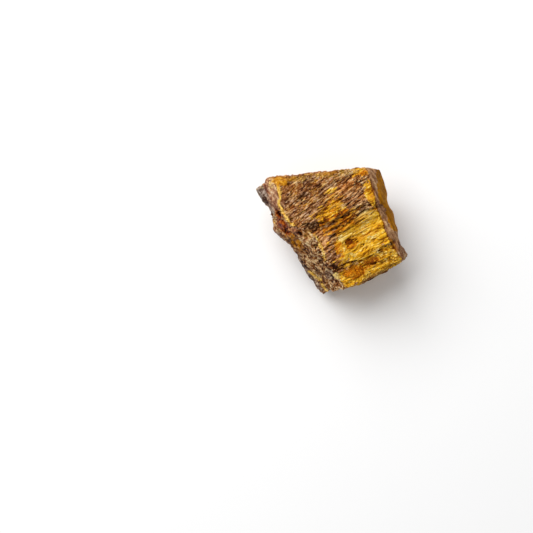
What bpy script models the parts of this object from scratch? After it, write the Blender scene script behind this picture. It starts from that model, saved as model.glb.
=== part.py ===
# Raw tiger eye: a broken chunk of a fibrous quartz seam, still carrying its two wall layers.
# The fibres run straight from the left wall to the right wall. Every other face broke along them.
# Sizes are in millimetres, +X right, +Y back, +Z up, and turn into metres when the mesh is stored.

import math

import bmesh
import bpy
import numpy as np
from mathutils import Vector, noise

MM = 0.001

# Driving dimensions
TOP = 26.3  # height of the stone at the crest of its back edge
FAN_RADIUS = 130.0  # the fibres spread from a point this far to the left, so they run nearly parallel
FAN_ANGLE = 33.0  # degrees from +X towards +Y, the way they run through the middle, seen from above
RIB_WIDTH = 1.5
RIB_LENGTH = 10.0
RIB_HEIGHT = 0.42
SHEET_RISER = (0.6, 0.95)  # the part of a sheet's width in which it steps up to the next
SHEET_SIZE = 1.5, 3.0  # a sheet of ribs is this many times longer and wider than one rib
SHEET_STEPS = 3.0
CRUST_LUMPS = [{"width": 5.5, "height": 0.5}, {"width": 2.2, "height": 0.25}]
LUMP_TOP, LUMP_FALL = 0.4, 2.0  # share of its height by which a lump stands out, and its fall to the next
RIGHT_CRUST = 0.35  # the right wall's lumps against the left wall's
SWELL_WIDTH = 8.0
SWELL_HEIGHT = 0.35
SKIN_STEP = 0.4  # spacing of the working skin before it is thinned out
TRIANGLES = 9600
FOOT_HOLLOWS = {"widths": (9.0, 5.0, 50.0), "depth": 2.2}
FOOT_REACH = (3.0, 0.6)  # heights between which the foot's hollows fade in
FOOT_FLAT = 0.3  # what lies lower than this is pressed flat, so that the stone rests on it

# How squarely a face meets the fibres, from 0 (it lies along them) to 1 (it cuts them). The two
# values say where one look gives way to the other.
ALONG_TO_CUT = (0.45, 0.8)
NO_WALL_TO_WALL = (0.3, 0.7)
NOT_SIDE_TO_SIDE = (0.35, 0.75)  # the same for a face that looks to the front or the back

# Corners of the broken block, from the top edge down. Heights are below TOP where they are negative.
BACK_EDGE = [(-16.7, 14.8, -1.8), (-8.3, 15.7, -0.8), (2.0, 17.1, 0.0), (9.3, 17.6, -0.8)]
RIGHT_CREST = [(10.5, 15.2, -1.3), (11.5, 12.0, -1.6), (13.9, 4.5, -2.4), (17.5, -4.2, -3.2)]
FRONT_EDGE = [(20.6, -8.4, -4.2), (12.9, -13.1, -4.2), (8.3, -15.2, -4.2), (3.9, -16.8, -4.9)]
LEFT_RIDGE = [(-0.4, -11.2, -4.0), (-3.2, -6.0, -3.0), (-13.3, 2.6, -1.6), (-16.2, 11.8, -1.3)]
RIND_EDGE = [(12.3, 15.6, -2.4), (13.3, 10.8, -3.0), (15.5, 5.6, -3.9), (18.5, -1.9, -5.2)]

# Corners of the widest outline, at their own heights
BACK_WAIST = [(-20.6, 15.6, 18.3), (-16.5, 16.2, 21.0), (-3.2, 17.2, 22.5), (5.1, 18.7, 22.0)]
RIGHT_WAIST = [(9.3, 19.1, 21.0), (13.7, 18.6, 19.5), (14.7, 15.3, 14.0), (15.4, 10.6, 11.5)]
RIGHT_BULGE = [(17.9, 3.0, 11.0), (18.5, 0.0, 10.5), (22.5, -7.4, 15.5), (21.2, -8.9, 13.0)]
FRONT_WAIST = [(16.0, -12.9, 13.0), (10.5, -15.5, 12.0), (4.2, -17.4, 10.0), (-0.4, -19.3, 6.5)]
LEFT_WAIST = [(-2.9, -19.2, 4.0), (-6.8, -12.2, 5.5), (-11.2, -5.2, 6.5), (-15.6, -2.4, 8.0)]
LEFT_TIP = [(-17.7, 1.9, 9.5), (-18.4, 8.0, 12.0), (-23.6, 13.4, 15.5)]

# Corners of the underside
FOOT = [(-7.0, -5.0), (-3.6, -13.6), (1.0, -15.0), (11.0, -8.5)]
FOOT += [(12.5, 0.0), (8.0, 8.5), (-3.0, 9.5), (-8.5, 4.0)]
LOWER_CHIPS = [(16.6, -4.0, 4.0), (12.0, 12.5, 4.5), (-4.0, 14.0, 6.0), (9.5, -12.0, 3.5), (-11.5, 3.0, 3.5)]

# Broken steps of the top face. Each edge runs to the right from its first point, along the fibres.
# The surface in front of it lies lower by drop, and the step fades in between the two starts values.
STEPS = [
    {"drop": 0.8, "starts": (-7, -4), "edge": [(-9.0, 1.9), (-0.9, 2.7), (4.2, 5.0), (7.1, 6.8), (11.5, 7.9)]},
    {"drop": 0.9, "starts": (-2, 3), "edge": [(-0.8, 0.4), (3.6, 1.8), (5.4, 3.6), (8.9, 6.0), (12.5, 7.1)]},
    {"drop": 0.6, "starts": (-2, 0), "edge": [(-1.1, -2.0), (0.7, -0.8), (4.2, 0.7), (5.7, 1.2), (9.0, 3.0)]},
    {"drop": 0.5, "starts": (0, 2), "edge": [(3.0, -3.5), (4.2, -2.2), (5.7, -1.6), (8.0, -0.6)]},
    {"drop": 1.2, "starts": (-3, 3), "edge": [(3.8, -9.4), (8.2, -8.8), (12.1, -7.0), (14.5, -4.6), (16.6, -3.4)]},
    {"drop": 0.6, "starts": (2, 4), "edge": [(9.2, -10.3), (11.3, -9.7), (13.4, -9.1), (16.0, -8.0)]},
]
STEP_WIDTH = 0.4
STEP_RAGGED = {"widths": (3.0, 1.5, 50.0), "height": 0.35}
STEPS_REACH = (12.0, 18.0)  # heights between which the steps of the top face fade in
FADE_END = 4.0  # a step is gone this far past its last point

# Layers of the front and back faces: under each height the face stands back by depth
FRONT_LAYERS = [{"height": 17.0, "depth": 0.7}, {"height": 11.0, "depth": 1.1}, {"height": 5.5, "depth": 0.8}]
BACK_LAYERS = [{"height": 18.5, "depth": 0.9}, {"height": 12.5, "depth": 0.8}, {"height": 6.0, "depth": 1.0}]
LAYER_WIDTH = 0.45
LAYER_WAVE = {"widths": (12.0, 8.0, 50.0), "height": 1.8}  # how a layer's edge wanders up and down
LAYERS_START = (0.0, 2.5)  # the layers fade out towards the foot between these heights

# Hollows and swellings: centre, reach and how far the surface moves inwards there
DENTS = [
    {"at": (-6.4, 0.8, 23.0), "reach": 3.2, "depth": 1.9},  # the left ridge steps in here
    {"at": (-8.2, -1.6, 19.5), "reach": 3.6, "depth": 1.6},
    {"at": (-18.8, 6.6, 12.5), "reach": 4.0, "depth": 1.7},  # behind the tip
    {"at": (-20.8, 9.3, 13.8), "reach": 2.8, "depth": 1.5},
    {"at": (-17.6, 1.2, 9.5), "reach": 3.2, "depth": -1.0},  # knee of the left wall
    {"at": (-13.3, -4.2, 8.3), "reach": 3.2, "depth": 2.0},  # below the knee
    {"at": (-9.2, -10.6, 6.0), "reach": 2.4, "depth": 0.7},
    {"at": (-10.6, -6.2, 7.0), "reach": 5.5, "depth": 1.4},  # hollow stretch of the left wall
    {"at": (-0.2, -12.2, 20.0), "reach": 2.6, "depth": 1.1},
    {"at": (16.4, 8.4, 17.5), "reach": 3.6, "depth": 0.9},  # upright waist between the right wall's two lobes
    {"at": (17.0, 8.0, 13.0), "reach": 3.6, "depth": 1.1},
    {"at": (16.2, 7.8, 8.5), "reach": 3.6, "depth": 0.9},
    {"at": (11.7, 18.4, 22.0), "reach": 1.7, "depth": 1.0},  # notch in the back edge
    {"at": (20.2, -2.2, 17.0), "reach": 3.8, "depth": 1.3},  # waist above the lower lobe's corner
    {"at": (20.2, -2.6, 13.0), "reach": 3.6, "depth": 0.9},
    {"at": (19.2, 2.6, 16.5), "reach": 3.0, "depth": 0.5},
    {"at": (5.2, -2.6, 22.0), "reach": 1.5, "depth": 0.7},  # hooked hollow in the golden band
    {"at": (-15.4, 5.2, 21.5), "reach": 1.2, "depth": 1.1},  # red-brown pits under the ridge
    {"at": (-15.0, 3.0, 19.5), "reach": 1.5, "depth": 1.2},
    {"at": (-13.0, 0.4, 18.6), "reach": 1.7, "depth": 1.3},
    {"at": (-9.6, -0.8, 18.5), "reach": 1.6, "depth": 1.3},
    {"at": (-9.2, -4.4, 15.5), "reach": 1.9, "depth": 0.9},
    {"at": (-12.0, 0.6, 20.0), "reach": 1.3, "depth": -0.6},  # lump between the pits
    {"at": (18.2, -11.4, 15.0), "reach": 2.6, "depth": 1.1},  # chips off the front edge
    {"at": (19.8, -9.6, 14.5), "reach": 2.6, "depth": 1.3},
]


def fibre_place(points):
    """Where points lie along the fibres, across them on the level, and up."""
    turn = math.radians(FAN_ANGLE)
    x = points[:, 0] + FAN_RADIUS * math.cos(turn)
    y = points[:, 1] + FAN_RADIUS * math.sin(turn)
    along = np.hypot(x, y) - FAN_RADIUS
    across = FAN_RADIUS * (np.arctan2(y, x) - turn)
    height = points[:, 2] if points.shape[1] > 2 else np.zeros(len(points))
    return np.stack([along, across, height], axis=1)


ALONG = np.array([math.cos(math.radians(FAN_ANGLE)), math.sin(math.radians(FAN_ANGLE)), 0.0])
ACROSS = np.array([-ALONG[1], ALONG[0], 0.0])


def ramp(values, low, high):
    """0 at low, 1 at high, smooth between them. Low may be the larger one."""
    share = np.clip((values - low) / (high - low), 0.0, 1.0)
    return share * share * (3.0 - 2.0 * share)


def noise_at(points, widths, seed):
    """Smooth noise from -1 to 1. widths are the sizes of its lumps along, across and up."""
    grain = fibre_place(points) / np.array(widths)
    return np.array([noise.noise(Vector(place) + Vector((seed, seed * 0.7, -seed))) for place in grain])


def block_corners():
    edges = BACK_EDGE + RIGHT_CREST + FRONT_EDGE + LEFT_RIDGE + RIND_EDGE
    corners = [(x, y, TOP + below) for x, y, below in edges]
    corners += BACK_WAIST + RIGHT_WAIST + RIGHT_BULGE + FRONT_WAIST + LEFT_WAIST + LEFT_TIP
    corners += LOWER_CHIPS
    corners += [(x, y, 0.0) for x, y in FOOT]
    return corners


def broken_block():
    """The block between its main fracture faces, as a mesh in metres."""
    bm = bmesh.new()
    for corner in block_corners():
        bm.verts.new(Vector(corner) * MM)
    hull = bmesh.ops.convex_hull(bm, input=bm.verts)
    inside = [item for item in hull["geom_interior"] if isinstance(item, bmesh.types.BMVert)]
    bmesh.ops.delete(bm, geom=inside, context="VERTS")
    bmesh.ops.recalc_face_normals(bm, faces=bm.faces)
    mesh = bpy.data.meshes.new("broken_block")
    bm.to_mesh(mesh)
    bm.free()
    return mesh


def with_modifier(mesh, kind, **settings):
    """The mesh as one modifier makes it."""
    helper = bpy.data.objects.new("helper", mesh)
    bpy.context.scene.collection.objects.link(helper)
    modifier = helper.modifiers.new(kind.title(), kind)
    for name, value in settings.items():
        setattr(modifier, name, value)
    graph = bpy.context.evaluated_depsgraph_get()
    made = bpy.data.meshes.new_from_object(helper.evaluated_get(graph))
    bpy.data.objects.remove(helper)
    return made


def points_of(mesh):
    flat = np.empty(len(mesh.vertices) * 3)
    mesh.vertices.foreach_get("co", flat)
    return flat.reshape(-1, 3) / MM


def normals_of(mesh):
    flat = np.empty(len(mesh.vertices) * 3)
    mesh.vertices.foreach_get("normal", flat)
    return flat.reshape(-1, 3)


def store(mesh, points):
    mesh.vertices.foreach_set("co", (points * MM).astype(np.float32).ravel())
    mesh.update()


def swell(points, normals):
    """Broad unevenness, which takes the flatness from the big faces."""
    lift = SWELL_HEIGHT * noise_at(points, (SWELL_WIDTH,) * 3, 3.1)
    return points + normals * lift[:, None]


def raise_ribs(points, normals):
    """Bundles of fibres that stand out along every face that broke along them."""
    broken = 1.0 - ramp(np.abs(normals @ ALONG), *ALONG_TO_CUT)
    bundles = noise_at(points, (RIB_LENGTH, RIB_WIDTH, RIB_WIDTH), 11.3)
    sheet_width = RIB_WIDTH * SHEET_SIZE[1]
    sheets = noise_at(points, (RIB_LENGTH * SHEET_SIZE[0], sheet_width, sheet_width), 14.9) * SHEET_STEPS
    stepped = (np.floor(sheets) + ramp(sheets % 1.0, *SHEET_RISER)) / SHEET_STEPS
    return points + normals * (RIB_HEIGHT * (bundles + stepped) * broken)[:, None]


def raise_lumps(points, normals):
    """The knobbly crust of the left wall, and the gentler one of the right wall."""
    facing = normals @ ALONG
    crust = ramp(-facing, *NO_WALL_TO_WALL) + RIGHT_CRUST * ramp(facing, *NO_WALL_TO_WALL)
    for size in CRUST_LUMPS:
        cracks = np.abs(noise_at(points, (size["width"],) * 3, 5.7 + size["width"]))
        lift = size["height"] * (LUMP_TOP - LUMP_FALL * cracks) * crust
        points = points + normals * lift[:, None]
    return points


def press_dents(points, normals):
    for dent in DENTS:
        away = np.linalg.norm(points - np.array(dent["at"]), axis=1)
        depth = dent["depth"] * ramp(away, dent["reach"], 0.0)
        points = points - normals * depth[:, None]
    return points


def cut_steps(points):
    """Lowers the top face on the front side of each step."""
    place = fibre_place(points)
    along, across = place[:, 0], place[:, 1]
    high = ramp(points[:, 2], *STEPS_REACH)
    ragged = STEP_RAGGED["height"] * noise_at(points, STEP_RAGGED["widths"], 23.9)
    lowered = np.zeros(len(points))
    for step in STEPS:
        edge = fibre_place(np.array(step["edge"]))
        line = np.interp(along, edge[:, 0], edge[:, 1]) + ragged
        past = ramp(across, line + STEP_WIDTH / 2, line - STEP_WIDTH / 2)
        fade = ramp(along, edge[-1, 0] + FADE_END, edge[-1, 0])
        lowered += step["drop"] * past * ramp(along, *step["starts"]) * fade
    points = points.copy()
    points[:, 2] -= lowered * high
    return points


def cut_layers(points, normals):
    """Sets the front and back faces back, layer by layer, towards the floor."""
    points = points.copy()
    wave = LAYER_WAVE["height"] * noise_at(points, LAYER_WAVE["widths"], 31.7)
    for layers, side in ((FRONT_LAYERS, -1.0), (BACK_LAYERS, 1.0)):
        facing = ramp(side * (normals @ ACROSS), *NOT_SIDE_TO_SIDE)
        for layer in layers:
            edge = layer["height"] + wave
            below = ramp(points[:, 2], edge + LAYER_WIDTH / 2, edge - LAYER_WIDTH / 2)
            near_floor = ramp(points[:, 2], *LAYERS_START)
            points -= np.outer(side * layer["depth"] * facing * below * near_floor, ACROSS)
    return points


def press_foot(points):
    """Hollows the underside, and flattens what the stone rests on."""
    points = points.copy()
    hollows = noise_at(points, FOOT_HOLLOWS["widths"], 41.3) * FOOT_HOLLOWS["depth"]
    points[:, 2] += hollows * ramp(points[:, 2], *FOOT_REACH)
    points[:, 2] = np.where(points[:, 2] < FOOT_FLAT, 0.0, points[:, 2] - FOOT_FLAT)
    return points


def stand_on_origin(points):
    """Moves the middle of the outline over the origin, and the foot onto the floor."""
    low, high = points.min(axis=0), points.max(axis=0)
    middle = (low + high) / 2
    return points - np.array([middle[0], middle[1], low[2]])


def stone_mesh():
    skin = with_modifier(broken_block(), "REMESH", mode="VOXEL", voxel_size=SKIN_STEP * MM)
    points = swell(points_of(skin), normals_of(skin))
    store(skin, points)
    points = press_dents(points, normals_of(skin))
    store(skin, points)
    normals = normals_of(skin)
    points = cut_steps(cut_layers(points, normals))
    points = raise_lumps(raise_ribs(points, normals), normals)
    store(skin, stand_on_origin(press_foot(points)))
    faces = len(skin.polygons) * 2
    thin = with_modifier(skin, "DECIMATE", ratio=TRIANGLES / faces, use_collapse_triangulate=True)
    points = points_of(thin)
    points[points[:, 2] < FOOT_FLAT / 4, 2] = 0.0  # the thinning may have lifted a few corners
    store(thin, stand_on_origin(points))
    thin.name = "tiger_eye_stone"
    return thin


def stone_material():
    """Golden-brown fibrous quartz: a soft silky shine, no metal."""
    material = bpy.data.materials.new("tiger_eye")
    material.use_nodes = True
    shader = material.node_tree.nodes["Principled BSDF"]
    shader.inputs["Base Color"].default_value = (0.36, 0.19, 0.05, 1.0)
    shader.inputs["Roughness"].default_value = 0.5
    shader.inputs["Metallic"].default_value = 0.0
    return material


def main():
    for item in list(bpy.data.objects):
        bpy.data.objects.remove(item)
    mesh = stone_mesh()
    mesh.materials.clear()
    mesh.materials.append(stone_material())
    stone = bpy.data.objects.new("tiger_eye_stone", mesh)
    bpy.context.scene.collection.objects.link(stone)


main()
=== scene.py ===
import math

import bmesh
import bpy
import numpy as np
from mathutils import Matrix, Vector
from mathutils.bvhtree import BVHTree


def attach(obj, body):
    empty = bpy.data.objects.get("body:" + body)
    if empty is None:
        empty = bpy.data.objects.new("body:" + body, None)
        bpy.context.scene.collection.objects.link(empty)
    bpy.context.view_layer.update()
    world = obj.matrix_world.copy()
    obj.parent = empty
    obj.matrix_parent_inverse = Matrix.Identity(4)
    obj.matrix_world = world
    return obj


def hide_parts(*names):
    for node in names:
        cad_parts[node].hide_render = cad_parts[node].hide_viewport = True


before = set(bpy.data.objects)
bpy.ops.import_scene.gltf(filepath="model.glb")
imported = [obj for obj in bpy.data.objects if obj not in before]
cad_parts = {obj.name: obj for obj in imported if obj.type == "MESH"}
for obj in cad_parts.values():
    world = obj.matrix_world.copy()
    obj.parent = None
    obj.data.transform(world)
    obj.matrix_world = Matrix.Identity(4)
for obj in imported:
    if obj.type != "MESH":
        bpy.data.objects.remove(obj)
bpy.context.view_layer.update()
mm = 0.001
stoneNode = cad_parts["tiger_eye_stone"]


def newObject(name, data):
    made = bpy.data.objects.new(name, data)
    bpy.context.scene.collection.objects.link(made)
    return made


def linearColour(hexValue):
    channels = [int(hexValue[i:i + 2], 16) / 255 for i in (1, 3, 5)]
    return tuple(c / 12.92 if c <= 0.04045 else ((c + 0.055) / 1.055) ** 2.4 for c in channels) + (1.0,)


def addNode(tree, kind, inputs=None, stops=None, **settings):
    # one node with its settings, its sockets linked or set, and its colour stops if it has any
    node = tree.nodes.new(kind)
    for name, value in settings.items():
        setattr(node, name, value)
    for name, value in (inputs or {}).items():
        if isinstance(value, bpy.types.Node):
            value = value.outputs[0]
        if isinstance(value, bpy.types.NodeSocket):
            tree.links.new(value, node.inputs[name])
        elif isinstance(value, str) and value.startswith("#"):
            node.inputs[name].default_value = linearColour(value)
        else:
            node.inputs[name].default_value = value
    for place, (position, colour) in enumerate(stops or []):
        elements = node.color_ramp.elements
        element = elements[place] if place < 2 else elements.new(position)
        element.position = position
        element.color = linearColour(colour)
    return node


# The way the fibres run, seen from above. All lengths in the dictionaries are millimetres.
fibres = {"spreadRadius": 130.0, "angle": 33.0}
fibreTurn = math.radians(fibres["angle"])
fibreWay = np.array([math.cos(fibreTurn), math.sin(fibreTurn), 0.0])


def fibrePlace(points):
    # along the fibres, across them on the level, and up
    x = points[:, 0] + fibres["spreadRadius"] * math.cos(fibreTurn)
    y = points[:, 1] + fibres["spreadRadius"] * math.sin(fibreTurn)
    along = np.hypot(x, y) - fibres["spreadRadius"]
    across = fibres["spreadRadius"] * (np.arctan2(y, x) - fibreTurn)
    return np.stack([along, across, points[:, 2]], axis=1)


def ramp(values, low, high):
    # 0 at low, 1 at high, smooth between; low may be the larger one
    share = np.clip((values - low) / (high - low), 0.0, 1.0)
    return share * share * (3.0 - 2.0 * share)


def gradientNoise(places, seed):
    # smooth noise from about -1 to 1, with lumps one unit wide
    rng = np.random.default_rng(seed)
    order = rng.permutation(256)
    slopes = rng.normal(size=(256, 3))
    slopes /= np.linalg.norm(slopes, axis=1, keepdims=True)
    cell = np.floor(places).astype(int)
    inside = places - cell
    fade = inside ** 3 * (inside * (inside * 6 - 15) + 10)
    total = np.zeros(len(places))
    for corner in np.ndindex(2, 2, 2):
        x, y, z = (cell + corner).T & 255
        slope = slopes[order[(order[(order[x] + y) & 255] + z) & 255]]
        weight = np.prod(np.where(corner, fade, 1 - fade), axis=1)
        total += weight * np.einsum("ij,ij->i", slope, inside - corner)
    return total * 1.7


def fibreNoise(place, length, width, seed):
    # place is what fibrePlace gives
    return gradientNoise(place / np.array([length, width, width]), seed)


def terraces(place, length, width, seed, steps, share=0.3):
    # flat treads with short risers, share is the riser's part of a step
    scaled = fibreNoise(place, length, width, seed) * steps
    return (np.floor(scaled) + ramp(scaled % 1.0, 1 - share, 1.0)) / steps


def clefts(place, length, width, seed, gape):
    # 1 in thin lines along the fibres, 0 between them
    return ramp(np.abs(fibreNoise(place, length, width, seed)), gape, 0.0)


def sliverHeights(place, length, width, seed):
    # one random height for each sliver; slivers lie along the fibres like bricks, with broken ends
    dice = np.random.default_rng(seed).random(4096)
    row, layer = np.floor(place[:, 1:] / width).astype(int).T
    bundle = (row * 73 + layer * 151) & 4095
    start = 9 * dice[(bundle * 7 + 11) & 4095]
    piece = np.floor(place[:, 0] / (length * (0.6 + dice[bundle])) + start).astype(int)
    return dice[(bundle * 31 + piece * 17) & 4095] - 0.5


def readRows(items, name, width, kind=float):
    flat = np.empty(len(items) * width, dtype=kind)
    items.foreach_get(name, flat)
    return flat.reshape(-1, width)


def readPoints(mesh):
    return readRows(mesh.vertices, "co", 3) / mm


def readEdges(mesh):
    return readRows(mesh.edges, "vertices", 2, np.int32)


def writePoints(mesh, points):
    mesh.vertices.foreach_set("co", (points * mm).astype(np.float32).ravel())
    mesh.update()


def evened(values, edges, rounds, share=0.5):
    # each value moves towards the mean of its neighbours
    count = len(values)
    near = np.maximum(np.bincount(edges.ravel(), minlength=count), 1)[:, None]
    for _ in range(rounds):
        sums = [np.bincount(edges[:, 0], column[edges[:, 1]], count)
                + np.bincount(edges[:, 1], column[edges[:, 0]], count) for column in values.T]
        sums = np.stack(sums, axis=1)
        values = values + share * (sums / near - values)
    return values


def calmNormals(mesh, rounds):
    # the way the surface faces, without its small relief
    normals = evened(readRows(mesh.vertices, "normal", 3), readEdges(mesh), rounds)
    return normals / np.linalg.norm(normals, axis=1, keepdims=True)


def plainMesh(name, mesh, kind, settings, group=None):
    # the mesh as one modifier leaves it, with no modifier kept; group is what a vertex group holds
    helper = newObject(name, mesh)
    if group is not None:
        helper.vertex_groups.new(name=settings["vertex_group"]).add(group, 1.0, "REPLACE")
    modifier = helper.modifiers.new(kind.title(), kind)
    for setting, value in settings.items():
        if setting.startswith("Socket"):
            modifier[setting] = value
        else:
            setattr(modifier, setting, value)
    graph = bpy.context.evaluated_depsgraph_get()
    made = bpy.data.meshes.new_from_object(helper.evaluated_get(graph))
    bpy.data.objects.remove(helper)
    made.name = name
    return made


def dropPoints(mesh, stray):
    bm = bmesh.new()
    bm.from_mesh(mesh)
    bm.verts.ensure_lookup_table()
    bmesh.ops.delete(bm, geom=[bm.verts[i] for i in stray], context="VERTS")
    bm.to_mesh(mesh)
    bm.free()


def lineShare(points, lines, width):
    # 1 in the middle of a line seen from above, 0 beyond its width
    share = np.zeros(len(points))
    for line in lines:
        for (x0, y0), (x1, y1) in zip(line[:-1], line[1:]):
            run = np.array([x1 - x0, y1 - y0])
            start = points[:, :2] - np.array([x0, y0])
            part = np.clip(start @ run / (run @ run), 0.0, 1.0)
            away = np.linalg.norm(start - part[:, None] * run, axis=1)
            share = np.maximum(share, ramp(away, width, 0.0))
    return share


# Relief of the stone that is finer than the solid: what broke along the fibres, and the two walls
relief = {
    "step": 0.16,            # spacing of the skin while its relief is cut
    "downward": -0.1,        # a face whose normal is lower than this looks down, and is thinned first
    "firstShare": 0.75,      # of the triangles, kept after the first thinning
    "triangles": 193000,     # kept after the second
    "mostOff": 0.1,          # how far the thinned skin may stand from the fine one
    "bend": 0.18,            # how far the fibres wander from their line
    # what broke along the fibres: height, length, width, noise seed, and its steps or how far it gapes
    "short": [
        (terraces, 0.32, 5.0, 1.2, 3, 3.0),      # bundles
        (terraces, 0.26, 2.4, 0.5, 4, 3.0),      # splinters
        (sliverHeights, 0.26, 1.7, 0.38, 14),
        (clefts, -0.3, 6.0, 1.0, 18, 0.16)],
    "long": [
        (terraces, 0.36, 12.0, 1.7, 16, 3.0),    # ribs
        (terraces, 0.14, 7.0, 0.5, 17, 2.0),     # threads
        (clefts, -0.24, 9.0, 1.5, 19, 0.12)],
    "ledges": [(terraces, 0.45, 9.0, 3.4, 20, 2.5, 0.15)],
    "rimLift": 0.25,
    "crustLump": 1.2, "crustHeight": 0.2,
    "crustGrain": 0.5, "grainHeight": 0.16,
    "layerStep": 0.7, "layerHeight": 0.1,
    "skinLump": 2.6, "skinHeight": 0.14,
    "skinStreak": 0.6, "streakHeight": 0.07,
    "seamWidth": 0.45, "seamDepth": 0.25,    # the thin gap between fibres and rind
    "crackWidth": 0.5, "crackDepth": 0.6,
    "ribReach": 0.7, "ribLift": 0.6,
    "shellStep": 0.85, "shellHeight": 0.24,  # curved breaks round the hollow in the golden part
}

# Heights between which something starts to show, from none of it to all of it
levels = {"top": (3.0, 6.0), "clear": (2.0, 4.0), "foot": (1.2, 0.3), "short": (14.0, 10.0),
          "worn": (9.0, 12.0), "pulled": (10.0, 13.0), "pits": (11.0, 14.0), "cracks": (14.0, 17.0)}

# How squarely a face looks along the fibres, from where a wall starts to where it is all wall
facings = {"rough": (0.45, 0.75), "unbroken": (0.5, 0.8), "painted": (0.5, 0.62)}

# Open cracks at the foot of the broken steps on top, left to right
mainCrack = [(-0.4, 0.3), (4.0, 1.7), (5.8, 3.5), (9.3, 5.9), (12.9, 7.0)]
topCracks = [
    mainCrack,
    [(-8.8, 1.8), (-0.5, 2.6), (4.6, 4.9), (7.5, 6.7), (11.9, 7.8)],
    [(-0.7, -2.1), (1.1, -0.9), (4.6, 0.6), (6.1, 1.1)],
    [(3.4, -3.6), (4.6, -2.3), (6.1, -1.7)],
    [(4.2, -9.5), (8.6, -8.9), (12.3, -7.2)],
    [(9.6, -10.4), (11.7, -9.8), (13.8, -9.2)],
]


def oval(x, y, length, width, turn=0, share=1.0, **more):
    # a patch seen from above: its middle, half its length and width, the turn of its length, and its share
    return {"at": (x, y), "size": (length, width), "turn": turn, "share": share, **more}


# Pits on top; one whose depth is below zero is a lump
pits = [
    oval(-16.0, 5.1, 1.3, 0.55, -62, depth=0.8), oval(-15.1, 2.0, 1.3, 0.9, -50, depth=-0.4),
    oval(-13.9, 0.0, 1.0, 0.6, -45, depth=0.8), oval(-11.8, 0.3, 1.1, 0.6, -20, depth=-0.4),
    oval(-9.7, -0.8, 0.7, 0.45, -50, depth=0.9), oval(-11.2, -3.0, 2.0, 0.9, -45, depth=0.35),
    oval(5.6, -3.2, 1.9, 0.8, 20, depth=0.6), oval(8.9, -4.2, 0.7, 0.4, 30, depth=0.5),
    oval(2.6, -10.6, 1.4, 0.7, 25, depth=0.4),
]

# The tip at the left is worn, and its outline and that of the right corner are moved sideways
wornTip = oval(-21.3, 12.9, 3.0, 2.4, -50)
pulls = [
    oval(-22.4, 12.6, 2.2, 2.2, -50, move=(-0.4, 0.0)), oval(-21.3, 13.4, 1.6, 1.3, 39, move=(-0.35, 0.65)),
    oval(-20.9, 10.1, 1.9, 1.3, -55, move=(-0.4, -0.3)), oval(-22.7, 12.7, 0.9, 0.9, move=(-0.25, 0.1)),
    oval(-20.4, 15.0, 1.3, 1.0, 60, move=(0.3, -0.35)),
    oval(-19.9, 9.1, 1.9, 1.5, -55, move=(-0.65, -0.45)), oval(22.2, -7.1, 1.2, 1.0, move=(0.3, 0.05)),
]

# Golden ribs that stand out between the cracks
ribLines = [
    [(-1.4, -1.2), (2.6, 0.9), (6.2, 2.6)],
    [(-2.6, -0.2), (2.4, 2.9), (5.2, 4.7)],
    [(-3.6, 1.6), (-0.4, 3.7), (4.2, 6.2)],
    [(1.5, -1.0), (4.5, 1.4), (9.5, 4.6)],
    [(4.6, 2.7), (9.5, 5.1), (12.9, 6.4)],
]

# Where long straight fibres show on top
straightPatch = oval(11.0, -0.6, 11.5, 7.4, 40, below=mainCrack)

# Where the quartz broke in curves, like a shell, round the hollow at this middle
shellMiddle = (6.0, -4.0)
shellPatch = oval(8.8, -5.4, 3.9, 2.3, 25)


def ovalShare(points, patch, wobble=0.0):
    # the patch's share in its middle, 0 outside it; a patch that moves the skin fades from its very middle
    turn = math.radians(patch["turn"])
    away = points[:, :2] - np.array(patch["at"])
    along = away @ np.array([math.cos(turn), math.sin(turn)]) / patch["size"][0]
    across = away @ np.array([-math.sin(turn), math.cos(turn)]) / patch["size"][1]
    full = 0.0 if "move" in patch else 0.8
    share = patch["share"] * ramp(np.hypot(along, across) + wobble, 1.12, full)
    if "below" in patch:
        crackX, crackY = np.array(patch["below"]).T
        share = share * ramp(np.interp(points[:, 0], crackX, crackY) - points[:, 1], -0.2, 0.4)
    return share


def smoothShare(points, wobble=0.0):
    # 1 in the patches that are marked as smooth
    marked = [patch for found in patches.values() for patch in found if "smooth" in patch]
    return np.max([ovalShare(points, patch, wobble) for patch in marked], axis=0)


def straightShare(points, place):
    # 1 where the fibres broke long and straight, 0 where they broke into short slivers
    below = ramp(points[:, 2], *levels["short"])
    lower = ramp(fibreNoise(place, 20.0, 7.0, 24), -0.1, 0.25)
    return ovalShare(points, straightPatch) * (1 - below) + lower * below


def edgeCalm(points, edges, normals, rounds=50, sharp=0.28, flat=0.08):
    # 1 on flat ground, less on the stone's sharp outer edges, which broke clean
    proud = np.einsum("ij,ij->i", points - evened(points, edges, rounds), normals)
    return ramp(proud, sharp, flat)


def brokenShare(facing):
    # 1 where the face lies along the fibres, 0 on the two walls
    return 1.0 - ramp(np.abs(facing), *facings["unbroken"])


def evenSkin(mesh, edges, rounds=6, wear=60):
    # evens out the solid's facets without rounding its corners, and wears the tip
    points = readPoints(mesh)
    for _ in range(rounds):
        points = evened(evened(points, edges, 1), edges, 1, -0.53)
    worn = ovalShare(points, wornTip) * ramp(points[:, 2], *levels["worn"])
    points = points + worn[:, None] * (evened(points, edges, wear) - points)
    writePoints(mesh, points)
    return points


def fibreLift(place, straight):
    # short where the quartz broke into slivers, long where it broke into ribs
    short, long, ledges = [sum(height * shape(place, *sizes) for shape, height, *sizes in relief[kind])
                           for kind in ("short", "long", "ledges")]
    return short + (long - short) * straight + ledges


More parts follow.
